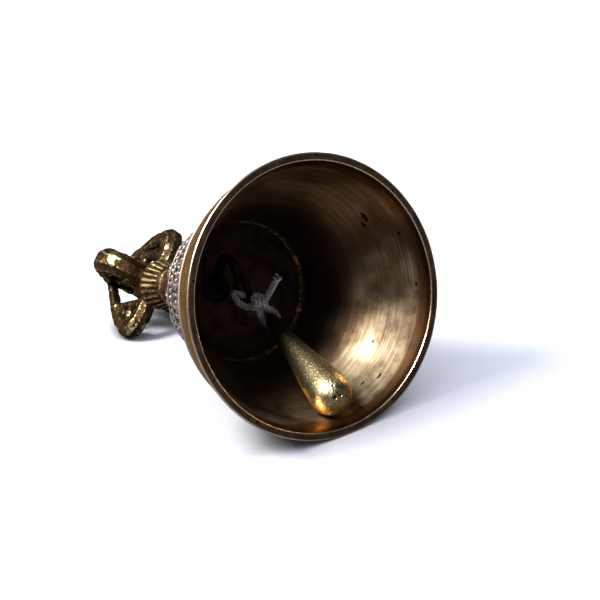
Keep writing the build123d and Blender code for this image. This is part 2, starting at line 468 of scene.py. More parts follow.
def handle_brass():
    """Rough casting: dark brown in the hollows, bright gold where hands have worn the ridges."""
    n = paint("handle_brass")
    wear = n.value("wear")
    cloud = n.noise(0.22, 4.0, 0.6)
    fine = n.noise(1.1, 5.0, 0.7)
    speck = n.noise(3.2, 3.0, 0.7)
    n.colour = n.mix(n.ramp(cloud, 0.36, 0.64), (0.034, 0.020, 0.012), (0.080, 0.050, 0.026))
    n.tint(n.ramp(fine, 0.52, 0.7, 0.0, 0.6), (0.19, 0.12, 0.055))
    n.tint(n.ramp(wear, 0.42, 0.12), (0.022, 0.014, 0.011))
    amount = n.plus(wear, n.ramp(fine, 0.3, 0.7, -0.10, 0.10))
    amount = n.plus(amount, n.ramp(speck, 0.3, 0.7, -0.05, 0.05))
    n.tint(n.ramp(amount, 0.60, 0.88), (0.82, 0.68, 0.34))
    rough = n.ramp(amount, 0.4, 0.9, 0.70, 0.28)
    normal = n.bump(fine, 0.4, 0.0003)
    return n.finish(rough, 0.95, n.bump(speck, 0.25, 0.0001, normal))


def clapper_brass():
    """Pebbled casting: dull gold with bright grains, orange on one side, dark pits."""
    n = paint("clapper_brass")
    fine = n.noise(1.2, 5.0, 0.7)
    speck = n.noise(3.0, 3.0, 0.75)
    n.colour = n.mix(n.ramp(fine, 0.4, 0.62), (0.085, 0.070, 0.040), (0.140, 0.116, 0.068))
    n.tint(n.value("edge"), (0.46, 0.39, 0.235))
    n.tint(n.ramp(n.value("high"), 0.6, 0.95, 0.0, 0.6), (0.44, 0.375, 0.225))
    n.tint(n.ramp(n.value("high"), 0.3, 0.02, 0.0, 0.45), (0.12, 0.088, 0.05))
    n.tint(n.value("shade"), (0.022, 0.017, 0.012))
    n.tint(n.value("warm"), (0.62, 0.36, 0.06))
    n.tint(n.value("pit"), (0.012, 0.009, 0.006))
    rough = n.plus(n.ramp(fine, 0.3, 0.7, 0.62, 0.50), n.ramp(speck, 0.4, 0.7, 0.0, 0.08))
    rough = n.plus(rough, n.times(n.value("edge"), -0.24))
    normal = n.bump(fine, 0.35, 0.00018)
    return n.finish(rough, 1.0, n.bump(speck, 0.25, 0.00008, normal))


def eye_brass():
    """The eye: dark cast wire with a little wear."""
    n = paint("eye_brass")
    cloud = n.noise(0.35, 4.0, 0.6)
    fine = n.noise(1.8, 4.0, 0.7)
    n.colour = n.mix(n.ramp(cloud, 0.36, 0.64), (0.014, 0.010, 0.009), (0.032, 0.023, 0.019))
    n.tint(n.ramp(fine, 0.55, 0.72, 0.0, 0.7), (0.07, 0.055, 0.046))
    return n.finish(n.ramp(fine, 0.3, 0.7, 0.62, 0.48), 0.9, n.bump(fine, 0.45, 0.0002))


def cotton():
    """Twisted cotton cord, greyed with handling, with painted shade between its plies and near the clapper.
    """
    n = paint("cotton")
    fibre = n.noise(4.5, 4.0, 0.8)
    cloud = n.noise(0.35, 3.0, 0.6)
    n.colour = n.mix(n.ramp(cloud, 0.36, 0.64), (0.20, 0.178, 0.165), (0.33, 0.298, 0.278))
    # Painted shade in the crevices between the plies, where "high" is low.
    n.tint(n.ramp(n.value("high"), 0.75, 0.1, 0.0, 0.95), (0.020, 0.017, 0.016))
    n.tint(n.value("shade"), (0.030, 0.025, 0.023))
    n.tint(n.ramp(fibre, 0.52, 0.36, 0.0, 0.4), (0.10, 0.09, 0.085))
    n.put(n.shader, "Sheen Weight", 0.35)
    n.put(n.shader, "Sheen Roughness", 0.5)
    return n.finish(n.ramp(fibre, 0.3, 0.7, 0.85, 0.97), 0.0, n.bump(fibre, 0.7, 0.0003))


INSIDE = inside_bronze()
RIM = rim_bronze()
LIP = lip_bronze()
RELIEF = relief_metal()
CROWN = crown_cast()
HANDLE = handle_brass()
CLAPPER = clapper_brass()
EYE_METAL = eye_brass()
CORD = cotton()

# === Cup

# The same sizes as the CAD cup, in mm: R is a radius and H a height above the mouth.
MOUTH_R = 37.5
INNER_R = 35.4
RIM_EDGE = 0.35
INNER_EDGE = 0.16
LIP_H = 13.9
LEDGE_H = 42.5
LEDGE_R = 19.4
CROWN_R = 8.4
CROWN_H = 61.8
BORE_R = 2.05
RECESS_R = 5.0
RECESS_H = 57.4
AROUND = 900

# Dark stains on the turned wall: angle in degrees, height, half length and half height in mm.
WALL_MARKS = (
    (-116, 13.6, 1.9, 0.8),
    (-112, 15.4, 1.1, 0.5),
    (-103, 6.4, 0.8, 0.7),
    (-78, 4.8, 0.7, 0.4),
    (-47, 15.5, 0.8, 0.35),
    (-31, 8.2, 1.0, 0.4),
    (-24, 11.0, 0.7, 0.3),
    (-12, 4.4, 1.2, 0.35),
    (150, 12.0, 1.6, 0.6),
    (96, 9.0, 1.0, 0.5),
)

# Faint turned grooves inside the rim: height, depth and half width in mm.
GROOVES = ((5.3, 0.025, 0.2), (6.35, 0.05, 0.2), (7.3, 0.06, 0.22), (8.5, 0.05, 0.2), (9.5, 0.02, 0.2))
# The grooves are cut deepest and carry the most painted shade round one angle, and a cloud of painted shade
# darkens the wall round another.
GROOVE_ANGLE = math.radians(-104)
PAINTED_SHADE_ANGLE = math.radians(-72)
PAINTED_SHADE_HALF_ANGLE = math.radians(13)
PAINTED_SHADE_H = 14.0
PAINTED_SHADE_HALF_H = 13.0

# Outlines as (radius, height).
LIP_OUTLINE = [(MOUTH_R, RIM_EDGE), (35.7, 6.0), (32.9, LIP_H)]
BODY_OUTLINE = [(33.2, LIP_H), (26.5, 26.0), (22.3, 38.0), (20.2, 47.0), (15.8, 55.0), (CROWN_R, CROWN_H)]
WALL_OUTLINE = [(INNER_R, 0.0), (33.4, 6.0), (30.5, LIP_H), (24.2, 26.0), (20.5, 37.0), (LEDGE_R, LEDGE_H)]
DOME_OUTLINE = [(19.8, 42.9), (17.3, 49.5), (12.0, 55.2), (RECESS_R, RECESS_H)]


def stroke(x, y, line, half_width):
    """Raised round wire along a line of points: 1 on the line, 0 from its half width on."""
    best = np.full(x.shape, 1e9)
    for (ax, ay), (bx, by) in zip(line, line[1:]):
        dx, dy = bx - ax, by - ay
        t = np.clip(((x - ax) * dx + (y - ay) * dy) / (dx * dx + dy * dy), 0, 1)
        best = np.minimum(best, (x - ax - t * dx) ** 2 + (y - ay - t * dy) ** 2)
    return dome(best / half_width**2)


def dome(x):
    """Round profile: 1 where x is 0, and 0 from 1 on."""
    return np.sqrt(np.clip(1 - x, 0, 1))


def highest(*layers):
    """The highest of several layers of relief at each point."""
    return np.maximum.reduce(layers)


def dots(x, y, places, radius):
    """Raised round beads at a list of places."""
    return highest(*(dome(((x - cx) ** 2 + (y - cy) ** 2) / radius**2) for cx, cy in places))


def spiral(cx, cy, radius, turns, start):
    """Points of a scroll that winds in towards its centre."""
    a = np.linspace(0, TAU * turns, int(14 * turns) + 2)
    r = radius * (1 - 0.82 * a / a[-1])
    return [(cx + k * math.cos(start + b), cy + k * math.sin(start + b)) for b, k in zip(a, r)]


def bead_row(angle, s, radius, height, count, bead):
    """A ring of round beads at one height."""
    x = ((angle / TAU * count) % 1 - 0.5) * TAU * radius / count
    return dome((x**2 + (s - height) ** 2) / bead**2)


def round_rib(s, height, half_width):
    """A plain raised ring at one height."""
    return dome(((s - height) / half_width) ** 2)


def cell_x(angle, count, width):
    """Distance from the nearer side of one of the count equal, mirrored cells round the cup."""
    x = (angle / TAU * count) % 1 * width
    return np.minimum(x, width - x)


def garland_band(angle, s):
    """Wide band above the lip: bead swags, pendants and scrolls, repeated round the cup."""
    width = 11.0
    middle = width / 2
    x = cell_x(angle, 16, width)
    swag = [(width * t, 29.2 - 5.4 * (1 - (2 * t - 1) ** 2)) for t in np.linspace(0, 0.5, 5)]
    return highest(
        0.95 * dots(x, s, swag, 0.72),
        0.9 * dots(x, s, [(0.0, 28.4 - 1.35 * k) for k in range(8)], 0.62),
        stroke(x, s, [(0.0, 18.6), (0.0, 17.4)], 0.9),
        0.9 * stroke(x, s, spiral(3.3, 27.0, 1.5, 1.3, 1.2), 0.42),
        dots(x, s, [(middle, 27.8), (middle, 26.1), (middle, 24.9)], 0.6),
        0.95 * stroke(x, s, spiral(2.9, 20.1, 1.9, 1.5, 0.4), 0.46),
        stroke(x, s, [(middle, 22.8), (4.9, 21.4), (middle, 19.8)], 0.42),
        dots(x, s, [(middle, 18.3), (4.4, 18.0), (1.2, 23.6)], 0.6),
    )


def lozenge_band(angle, s):
    """Narrow band at the waist: upright spindles between small crosses."""
    x = cell_x(angle, 24, 5.9)
    spindle = [(2.95, 40.9), (2.1, 38.6), (2.6, 37.3), (2.1, 36.0), (2.95, 33.6)]
    return highest(
        stroke(x, s, spindle, 0.42),
        stroke(x, s, [(1.7, 37.3), (2.95, 37.3)], 0.5),
        0.9 * dots(x, s, [(0.0, 39.6), (0.0, 35.0), (0.0, 37.3)], 0.7),
    )


def petal_band(angle, s):
    """Shoulder: sixteen petals that point down from the crown."""
    count = 16
    t = (angle / TAU * count) % 1 - 0.5
    reach = np.clip((s - 47.6) / 11.5, 0, 1)
    half = 0.46 * np.sqrt(reach) * (1 - 0.12 * reach)
    d = np.abs(np.abs(t) - half) * TAU
    line = dome((d / 0.5) ** 2) * smooth(47.4, 47.9, s) * smooth(60.0, 59.2, s)
    body = np.clip(1 - (np.abs(t) / np.maximum(half, 0.02)) ** 2, 0, 1)
    return highest(line, 0.55 * body * smooth(48.2, 50.5, s) * smooth(60, 58, s))


def relief(angle, s, p):
    """Height from 0 to 1 of the cast relief outside the cup."""
    h = highest(
        0.9 * bead_row(angle, s, 32.0, 15.75, 104, 0.86),
        0.7 * round_rib(s, 16.95, 0.34),
        np.where((s > 17.1) & (s < 30.2), garland_band(angle, s), 0),
        bead_row(angle, s, 25.2, 31.2, 88, 0.8),
        0.7 * round_rib(s, 32.4, 0.34),
        np.where((s > 32.7) & (s < 41.8), lozenge_band(angle, s), 0),
        0.7 * round_rib(s, 42.1, 0.34),
        bead_row(angle, s, 21.0, 43.3, 72, 0.82),
        0.75 * round_rib(s, 46.0, 0.5),
        np.where(s > 47.2, petal_band(angle, s), 0),
    )
    first, second = cells(p, 0.92, 5)
    grain = smooth(0.03, 0.34, second - first) * (0.42 + 0.16 * noise(p, 1.4, 6))
    grain = np.where((s > 14.6) & (s < 42), grain, 0.4 * grain)
    return np.clip(highest(h, grain) + 0.12 * fbm(p, 0.9, 9), 0, 1)


def crumbly(p):
    """Uneven crust along the ledge between the turned wall and the rough crown."""
    return fbm(p, 1.0, 21) + 0.5 * noise(p, 0.5, 22)


def cup_outline():
    """The closed outline of the cup as (radius, height), with each point's stretch and material."""
    bevel = [(1 - math.cos(a), 1 - math.sin(a)) for a in np.linspace(0, math.pi / 2, 7)]
    body = spline(BODY_OUTLINE, 250)
    stretches = {
        "outer_edge": [(MOUTH_R - RIM_EDGE * y, RIM_EDGE * x) for x, y in bevel],
        "lip": spline(LIP_OUTLINE, 60)[1:],
        "step": [(32.95, 14.0), (33.0, 14.1), (33.15, 14.25)],
        "body": body[body[:, 1] > 14.35],
        "roof": np.linspace((CROWN_R, CROWN_H), (BORE_R, CROWN_H), 12)[1:],
        "bore": np.linspace((BORE_R, CROWN_H), (BORE_R, RECESS_H), 8)[1:],
        "recess": np.linspace((BORE_R, RECESS_H), (RECESS_R, RECESS_H), 12)[1:],
        "dome": spline(DOME_OUTLINE[::-1], 90)[1:],
        "ledge": [(19.78, 42.72), (19.62, 42.60), (19.45, 42.52), (19.40, 42.42), (19.39, 42.25)],
        "wall": spline(WALL_OUTLINE[::-1], 230)[3:-1],
        "inner_edge": [(INNER_R + INNER_EDGE * x, INNER_EDGE * y) for x, y in bevel],
        "face": np.linspace((INNER_R + INNER_EDGE, 0), (MOUTH_R - RIM_EDGE, 0), 12)[1:-1],
    }
    rim, lip, inside, cast, crown = range(5)
    kinds = [rim, lip, cast, cast, cast, crown, crown, crown, crown, inside, rim, rim]
    counts = [len(points) for points in stretches.values()]
    ring = np.concatenate([np.asarray(points) for points in stretches.values()])
    return ring, np.repeat(list(stretches), counts), np.repeat(kinds, counts)


def age_wall(P, A, R, S):
    """Turned wall: how far it is raised, how bright its crust is and how dark its marks and painted shade
    are.
    """
    grooves = np.zeros(S.shape)
    for at, depth, half in GROOVES:
        wander = at + 0.10 * np.sin(A + at)
        grooves = grooves + depth * np.clip(1 - np.abs(S - wander) / half, 0, 1)
    # Painted shade in the grooves, strongest round the groove angle.
    clear = smooth(0.80, 0.95, np.cos(A - GROOVE_ANGLE))
    dark = np.clip(grooves / 0.06, 0, 1) * (0.15 + 0.75 * clear)
    grooves = grooves * (0.2 + 0.8 * clear)
    # A cloud of painted shade on the wall round its own angle and height.
    off_angle = np.angle(np.exp(1j * (A - PAINTED_SHADE_ANGLE))) / PAINTED_SHADE_HALF_ANGLE
    reach = np.hypot(off_angle, (S - PAINTED_SHADE_H) / PAINTED_SHADE_HALF_H) + 0.4 * fbm(P, 6.0, 24)
    dark = highest(dark, 0.72 * smooth(1.0, 0.1, reach))
    turning = 0.007 * noise(np.stack([S * 1.0, 0.15 * A, 0 * S], -1), 0.45, 12)
    lift = -grooves + turning * smooth(42, 38, S) + 0.05 * fbm(P, 6.0, 14) * smooth(24, 36, S)
    near_ledge = smooth(40.4, 42.0, S)
    crumbs = crumbly(P)
    lift += near_ledge * (0.30 + 0.50 * crumbs)
    for turn, at, length, tall in WALL_MARKS:
        along = np.angle(np.exp(1j * (A - math.radians(turn)))) * R
        d = np.hypot(along / length, (S - at) / tall) + 0.55 * fbm(P, 0.7, 23)
        dark = highest(dark, smooth(1.0, 0.6, d))
    return lift, np.clip(near_ledge * (0.7 + 1.3 * crumbs), 0, 1), dark


def cup():
    """One casting: lip, relief band, shoulder, turned wall, ledge and rough crown."""
    ring, stretch, kind = cup_outline()
    A, R, S = turned(ring, AROUND)
    P = round_points(A, R, S)
    lift, high, edge, pit = (np.zeros(A.shape) for _ in range(4))

    band = np.isin(stretch, ("step", "body"))
    h = relief(A[:, band], S[:, band], P[:, band])
    fade = smooth(14.2, 14.9, S[:, band]) * smooth(61.6, 60.6, S[:, band])
    high[:, band] = h
    lift[:, band] = (0.62 * h - 0.22) * fade
    edge[:, band] = smooth(14.75, 14.4, S[:, band]) * 0.45

    lip = stretch == "lip"
    lift[:, lip] = -0.05 + 0.05 * fbm(P[:, lip], 5.0, 3)
    edge[:, lip] = highest(smooth(13.5, 13.8, S[:, lip]) * 0.4, 0.5 * smooth(0.5, 0.38, S[:, lip]))

    outer = stretch == "outer_edge"
    edge[:, outer] = 0.7
    lift[:, outer] = 0.03 * noise(P[:, outer], 3.0, 8) - 0.03
    edge[:, stretch == "inner_edge"] = 1.0

    wall = stretch == "wall"
    # On the wall, pit holds the dark stains together with painted shade.
    lift[:, wall], edge[:, wall], pit[:, wall] = age_wall(P[:, wall], A[:, wall], R[:, wall], S[:, wall])

    ledge = stretch == "ledge"
    crumbs = crumbly(P[:, ledge])
    lift[:, ledge] = 0.30 + 0.50 * crumbs
    edge[:, ledge] = np.clip(0.75 + 0.8 * crumbs, 0, 1)

    rough = np.isin(stretch, ("dome", "recess"))
    pr = P[:, rough]
    ribs = 0.30 * np.maximum(0, fbm(pr * (1.0, 1.0, 0.35), 3.2, 33)) * smooth(6, 12, R[:, rough])
    lift[:, rough] = (0.22 * fbm(pr, 2.4, 30) + ribs) * smooth(4.4, 7.5, R[:, rough])

    P += lift[..., None] * outward(A, np.roll(ring, -1, 0) - np.roll(ring, 1, 0))
    P[..., 2] = np.maximum(P[..., 2], 0)
    faces = grid_faces(AROUND, len(ring), wrap_u=True, wrap_v=True)
    index = np.tile(np.maximum(kind, np.roll(kind, -1)), AROUND)
    o = build("cup", P.reshape(-1, 3), faces, [RIM, LIP, INSIDE, RELIEF, CROWN], index)
    keep_above_floor(o.data)
    point_values(o.data, high=high, edge=edge, pit=pit)
    return o


take_over(cup(), "bell_shell", "bell")

# === Handle casting

FLUTES = 24
FOOT_PETALS = 8
VOXEL = 0.26
# Outlines as (radius, height) in mm.
PRONG_LINE = [(3.5, 97.4), (11.0, 97.2), (14.9, 99.8), (14.4, 106.5), (11.0, 114.0), (5.8, 121.5)]
PRONG_LINE += [(1.2, 127.6)]
STEM_LINE = [(CROWN_R, CROWN_H), (8.7, 64.0), (7.6, 66.6), (5.4, 68.6), (7.4, 73.2), (5.2, 78.0), (5.0, 80.0)]
STEM_LINE += [(5.4, 81.5)]
HUB_LINE = [(7.6, 90.8), (7.45, 92.2), (6.7, 93.8), (6.2, 96.5), (6.0, 101.0), (4.4, 103.2), (2.0, 104.0)]


def cast_section(width, thick, cut):
    """Eight corners of a bar whose outer face is narrower than its back."""
    w, k = width / 2, thick / 2
    front = [(w, -k * 0.35), (w, k - cut), (w - cut, k), (-w + cut, k), (-w, k - cut), (-w, -k * 0.35)]
    return np.array([*front, (-w * 0.45, -k), (w * 0.4, -k)])


def turned_solid(A, R, S):
    """Points and faces of a turned form. Its outline starts and ends on the axis."""
    return round_points(A, R, S).reshape(-1, 3), grid_faces(*A.shape)


def stem():
    """Lotus foot, knobs, bead, fluted barrel and hub, turned as one form."""
    side = spline(STEM_LINE, 90)
    bead = [(5.75, 81.75), (6.0, 82.15), (6.0, 82.6), (5.75, 83.0), (5.35, 83.25)]
    flare = np.linspace((5.45, 83.5), (7.6, 90.8), 34)
    hub = spline(HUB_LINE, 40)[1:]
    A, R, S = turned(np.concatenate([[(0.001, CROWN_H)], side, bead, flare, hub, [(0.001, 104.1)]]))
    wave = 0.5 + 0.5 * np.cos(A * FLUTES)
    barrel = smooth(83.6, 85.6, S) * smooth(92.0, 90.6, S)
    petals = 0.5 + 0.5 * np.cos(A * FOOT_PETALS)
    foot = smooth(62.0, 63.2, S) * smooth(67.6, 65.6, S)
    R = R + barrel * (0.62 * wave**0.7 - 0.42) + foot * (0.5 * np.sqrt(petals) - 0.35)
    return turned_solid(A, R, S)


def turned_to(points, angle):
    """Points turned about the bell's axis."""
    c, s = math.cos(angle), math.sin(angle)
    x, y, z = points.T
    return np.stack([x * c - y * s, x * s + y * c, z], -1)


def bump_at(x, centre, width):
    """A smooth bump of height 1."""
    return np.exp(-(((x - centre) / width) ** 2))


def prong(angle, width, thick, cut, bulge):
    """One bowed arm. Its flat outer face is widest at the elbow."""
    steps = 60
    line = spline(PRONG_LINE, steps)
    path = np.stack([line[:, 0], np.zeros(steps), line[:, 1]], -1)
    t = np.linspace(0, 1, steps)
    swell = 1 + bulge * bump_at(t, 0.3, 0.16)
    taper = 1 - 0.42 * smooth(0.35, 1.0, t)
    shapes = np.stack([cast_section(width * a * b, thick * a * b, cut * b) for a, b in zip(swell, taper)])
    _, side, front = frames_along(path)
    pts = path[:, None] + shapes[..., 0:1] * side[:, None] + shapes[..., 1:2] * front[:, None]
    return turned_to(pts.reshape(-1, 3), angle), tube_faces(steps, shapes.shape[1])


def turned_tube(angle, path, radius, around=10):
    """A round tube, turned about the bell's axis to one arm."""
    pts, faces = tube(path, radius, around)
    return turned_to(pts, angle), faces


def strut(angle, start_r, start_h, end_r, end_h, radius):
    """A short cast rod in the plane of one arm."""
    return turned_tube(angle, np.linspace((start_r, 0, start_h), (end_r, 0, end_h), 12), radius)


def lump(angle, out_by, height, sideways, radius):
    """A round swelling of the casting on one arm."""
    u = np.linspace(0.02, math.pi - 0.02, 13)
    path = np.array((out_by, sideways, height)) - radius * np.cos(u)[:, None] * (0, 0, 1)
    return turned_tube(angle, path, radius * np.sin(u), 14)


def spike():
    """Thin rod on the axis inside the arms, with a swelling and a blunt tip."""
    z = np.linspace(101, 129.2, 30)
    path = np.stack([0 * z, 0 * z, z], -1)
    r = 1.25 + 0.35 * bump_at(z, 112, 3.0) + 0.8 * bump_at(z, 127.4, 1.5)
    return tube(path, r, 14)


def smooth_values(values, edges, rounds):
    """Averages a value or vector over neighbouring points, a few times."""
    v = np.array(values, float)
    columns = v.reshape(len(v), -1)
    count = np.maximum(np.bincount(edges.ravel(), minlength=len(v)), 1)
    a, b = edges.T
    for _ in range(rounds):
        total = np.zeros_like(columns)
        for k, column in enumerate(columns.T):
            near = np.bincount(a, weights=column[b], minlength=len(v))
            near += np.bincount(b, weights=column[a], minlength=len(v))
            total[:, k] = near / count
        columns = 0.5 * columns + 0.5 * total
    return columns.reshape(v.shape)


def finish_casting(o, co, material):
    """Moves a remeshed casting to its place on the row and dresses it."""
    o.data.vertices.foreach_set("co", to_row(co).ravel())
    point_place(o.data, co)
    o.data.materials.clear()
    o.data.materials.append(material)
    o.data.polygons.foreach_set("use_smooth", [True] * len(o.data.polygons))
    o.data.update()
    return o


def remeshed(name, solids, voxel):
    """One skin round overlapping solids, still in mm in the bell's frame."""
    points, faces, base = [], [], 0
    for pts, fs in solids:
        points.extend(tuple(x) for x in pts)
        faces.extend(tuple(int(i) + base for i in f) for f in fs)
        base += len(pts)
    mesh = bpy.data.meshes.new(name)
    mesh.from_pydata(points, [], faces)
    mesh.validate()
    bm = bmesh.new()
    bm.from_mesh(mesh)
    bmesh.ops.recalc_face_normals(bm, faces=bm.faces)
    bm.to_mesh(mesh)
    bm.free()
    o = new_object(name, mesh)
    mod = o.modifiers.new("remesh", "REMESH")
    mod.mode, mod.voxel_size = "VOXEL", voxel
    graph = bpy.context.evaluated_depsgraph_get()
    o.data = bpy.data.meshes.new_from_object(o.evaluated_get(graph), depsgraph=graph)
    o.modifiers.clear()
    bpy.data.meshes.remove(mesh)
    return o


def wear_of(points, normals, edges, rounds, gain):
    """How far each point stands out from its surroundings: 0.5 is flat, 1 a ridge, 0 a hollow."""
    soft = smooth_values(points, edges, rounds)
    out_by = ((points - soft) * normals).sum(1)
    return np.clip(0.5 + gain * out_by, 0, 1)


PRONGS = (
    # angle round the bell's axis, width, thickness, corner cut, bulge at the elbow
    (41.0, 5.0, 4.4, 0.7, 0.10),
    (-41.0, 5.2, 4.4, 0.7, 0.08),
    (134.0, 6.4, 5.0, 0.9, 0.18),
    (-134.0, 5.6, 4.8, 0.8, 0.12),
)

# Rods inside each arm: radius and height of the start, then of the end, then the rod's radius, in mm.
STRUTS = (
    ((6.6, 98, 7.2, 107, 1.5), (7.2, 107, 9.2, 116, 1.5), (7.6, 106, 13, 107, 1.0), (8, 111, 12, 110, 0.8)),
    ((6.6, 98, 7.0, 107, 1.6), (7.0, 107, 8.8, 116, 1.6), (7.4, 103, 13, 104, 1.1), (8, 110, 12, 111, 1.2)),
    ((6.4, 98, 7.4, 107, 1.9), (7.4, 107, 8.6, 116, 1.7), (7.6, 103, 13, 104, 1.5), (8, 109, 12, 110, 1.2)),
    (
        (4.4, 98, 4.8, 106, 2.1),
        (4.8, 106, 4.4, 113, 2.0),
        (4.6, 112, 5.8, 121, 1.8),
        (8.8, 98, 9.6, 106, 1.7),
        (9.6, 106, 8.6, 113, 1.7),
        (9.0, 110, 5.0, 112, 1.5),
        (9.2, 112, 13, 111, 1.6),
        (9.6, 103, 13, 104, 1.5),
    ),
)
# Swellings on each arm: radius, height and sideways place, then the ball's radius, in mm.
LUMPS = (
    ((13.6, 101.6, 0.6, 2.3), (14.2, 105.5, -1.2, 1.7), (9.0, 115.0, 0.8, 1.8)),
    ((13.6, 101.6, 0.8, 2.4), (13.0, 108.0, -0.8, 2.0), (9.4, 114.6, 0.6, 1.9)),
    ((13.2, 99.8, 0.9, 3.0), (14.4, 105.2, -0.6, 2.4), (12.4, 110.2, 1.2, 2.0), (8.2, 117.0, 0.0, 1.8)),
    ((13.2, 101.2, 0.4, 3.0), (12.6, 111.6, 0.0, 2.5), (9.2, 117.0, 0.4, 2.2), (5.6, 121.5, 0.0, 1.9)),
)
# Places rubbed bright by hands: angle, radius, height and size in mm.
RUBBED = (
    (141, 16.0, 97.5, 3.0),
    (132, 15.4, 97.6, 1.9),
    (53, 14.0, 96.6, 1.8),
    (51, 16.6, 97.5, 2.4),
    (-148, 12.2, 96.0, 0.9),
    (-140, 15.0, 104.0, 1.6),
    (175, 7.2, 88.5, 4.6),
    (120, 7.2, 88.5, 3.0),
)


def handle():
    solids = [stem(), spike()]
    for (angle, width, thick, cut, bulge), struts, lumps in zip(PRONGS, STRUTS, LUMPS):
        turn = math.radians(angle)
        solids.append(prong(turn, width, thick, cut, bulge))
        solids.extend(strut(turn, *rod) for rod in struts)
        solids.extend(lump(turn, *ball) for ball in lumps)
    o = remeshed("handle", solids, VOXEL)
    co, no, ed = mesh_arrays(o.data)
    co = smooth_values(co, ed, 2)
    far = smooth(93, 97, co[:, 2])
    facets = 0.5 - np.clip(cells(co, 3.1, 55)[0], 0, 1)
    holes = smooth(0.34, 0.16, cells(co, 1.9, 56)[0]) * smooth(0.0, 0.35, noise(co, 5.0, 59))
    rough = (0.05 + 0.22 * far) * fbm(co, 3.4, 51, 3)
    cast = far * (0.55 * facets + 0.10 * fbm(co, 1.0, 57, 2) - 0.25 * holes - 0.05)
    co = co + no * (rough + cast)[:, None]
    o.data.vertices.foreach_set("co", co.ravel())
    o.data.update()
    co, no, ed = mesh_arrays(o.data)
    wide = wear_of(co, no, ed, 22, 1.5)
    fine = wear_of(co, no, ed, 4, 6.5)
    wear = 0.45 * wide + 0.55 * fine
    for angle, radius, height, size in RUBBED:
        a = math.radians(angle)
        d = np.linalg.norm(co - (radius * math.cos(a), radius * math.sin(a), height), axis=1)
        patch = smooth(size, 0.4 * size, d + 0.5 * fbm(co, 1.2, 58, 2))
        wear = wear + 0.38 * patch * smooth(0.36, 0.52, wear)
    point_values(o.data, wear=smooth_values(np.clip(wear, 0, 1), ed, 1))
    finish_casting(o, co, HANDLE)
    keep_above_floor(o.data)
    return o


take_over(handle(), "vajra_handle", "bell")

# === Eye bolt

EYE_RING_R = 3.5
EYE_WIRE_R = 1.0
EYE_VOXEL = 0.16
NECK_LINE = [(0, 0, 56.9), (-4.0, 0, 53.6), (-8.4, 0, 49.0), (-9.0, 0, 43.6), (-3.8, 0, 41.2)]
FLANGE_LINE = [(0.001, 55.9), (3.4, 55.95), (4.1, 56.3), (4.15, 57.0), (3.7, 57.4), (0.001, RECESS_H)]


def eye_ring():
    """The ring of wire that the cord hangs from, upright in the plane of the swing."""
    around, across = 48, 20
    turn = np.linspace(0, TAU, around, endpoint=False)
    inner = np.linspace(0, TAU, across, endpoint=False)[None, :, None]
    spoke = np.stack([np.cos(turn), 0 * turn, np.sin(turn)], -1)[:, None]
    centre = np.array((0.0, 0.0, EYE[2]))
    pts = centre + (EYE_RING_R + EYE_WIRE_R * np.cos(inner)) * spoke
    pts = pts + EYE_WIRE_R * np.sin(inner) * np.array((0.0, 1.0, 0.0))
    return pts.reshape(-1, 3), grid_faces(around, across, wrap_v=True)


def eye_bolt():
    """Flange against the crown, bowed neck, and ring."""
    steps, around = 40, 18
    path = spline(NECK_LINE, steps)
    neck = tube(path, np.linspace(1.6, 1.35, steps), around)
    A, R, S = turned(FLANGE_LINE)
    flange = turned_solid(A, R * (1 + 0.03 * np.cos(5 * A)), S)
    o = remeshed("eye_bolt", [eye_ring(), neck, flange], EYE_VOXEL)
    co, no, ed = mesh_arrays(o.data)
    co = smooth_values(co, ed, 2)
    co = co + no * (0.08 * fbm(co, 1.8, 71, 3) - 0.03)[:, None]
    return finish_casting(o, co, EYE_METAL)


take_over(eye_bolt(), "clapper_eye", "bell")

# === Cord

# Three plies: radius of a ply, its distance from the cord's middle, and the length of a turn, in mm.
PLY_R = 0.45
PLY_OFFSET = 0.52
LAY = 4.2
PLY_AROUND = 10
STEPS_PER_MM = 6


def cord(name, points, start_twist=0.0, fray=0.0):
    """A length of cord through points, with its last bit frayed if asked."""
    path = spline(points, 400)
    length = np.concatenate([[0], np.cumsum(np.linalg.norm(np.diff(path, axis=0), axis=1))])
    count = int(length[-1] * STEPS_PER_MM)
    u = np.linspace(0, length[-1], count)
    path = np.stack([np.interp(u, length, path[:, k]) for k in range(3)], -1)
    _, a, b = frames_along(path)
    all_points, faces, high, base = [], [], [], 0
    spread = smooth(length[-1] - fray, length[-1], u) if fray > 0 else np.zeros(count)
    for k in range(3):
        phase = TAU * (u / LAY + k / 3) + start_twist
        wob = 1 + 0.06 * np.sin(u * 2.1 + 2.0 * k)
        off = PLY_OFFSET * wob + 0.55 * spread
        ply = path + off[:, None] * (np.cos(phase)[:, None] * a + np.sin(phase)[:, None] * b)
        ends = np.clip(np.minimum(u, length[-1] - u) / 0.4, 0.25, 1)
        r = PLY_R * ends * (1 - 0.3 * spread)
        ring = tube_points(ply, r, PLY_AROUND)
        ring = ring + 0.035 * noise(ring, 0.35, 91)[..., None] * (ring - ply[:, None]) / PLY_R
        away = np.linalg.norm(ring - path[:, None], axis=2)
        all_points.append(ring.reshape(-1, 3))
        # high is low in the crevices between the plies, where the cord's material paints shade.
        high.append(smooth(0.56, 0.92, away).ravel())
        faces.extend(tube_faces(count, PLY_AROUND, base))
        base += count * PLY_AROUND
    pts = np.concatenate(all_points)
    o = build(name, pts, faces, [CORD])
    # Painted shade on the cord near the clapper, where it enters the clapper's hole.
    clapper_hole_shade = smooth(5.0, 2.2, np.linalg.norm(pts - PIVOT, axis=1))
    point_values(o.data, high=np.concatenate(high), shade=0.92 * clapper_hole_shade)
    return o


LOOP_STRAND = [
    *((2.6, -1.7, 34.2), (2.0, -2.3, 36.4), (1.6, -1.5, 38.4), (1.2, 0.1, 39.3), (0.3, 1.9, 40.0)),
    *((-0.3, 3.3, 40.1), (0.9, 3.8, 38.7), (2.5, 3.6, 36.8), (3.5, 2.5, 35.2), (3.4, 1.2, 34.0)),
]


